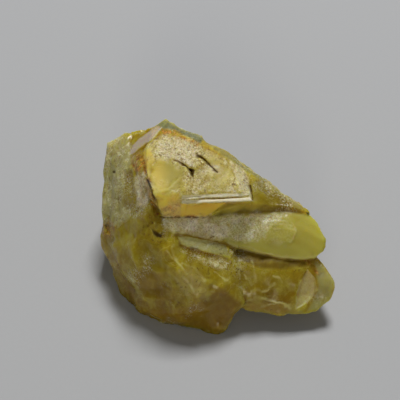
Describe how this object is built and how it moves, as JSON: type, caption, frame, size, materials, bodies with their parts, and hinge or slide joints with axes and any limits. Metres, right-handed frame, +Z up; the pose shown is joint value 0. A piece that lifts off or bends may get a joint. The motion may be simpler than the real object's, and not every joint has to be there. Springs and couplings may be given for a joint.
{
  "type": "garnet crystal",
  "caption": "Broken, yellow-green garnet crystal with a stepped cap, a flat blade and a blunt arm, lying on its flat foot.",
  "frame": {"origin": "middle of the crystal's bounding box, at the height of the flat foot it rests on", "axes": "+X along the longest side, from the broken left mass towards the tip of the arm; +Y away from the viewer, towards the hidden back; +Z up, towards the cap"},
  "size_m": [0.0306, 0.0262, 0.0181],
  "materials": {
    "garnet": "translucent, waxy to glassy, with frosted breaks"
  },
  "bodies": {
    "root": {"garnet_crystal": "garnet"}
  },
  "joints": []
}
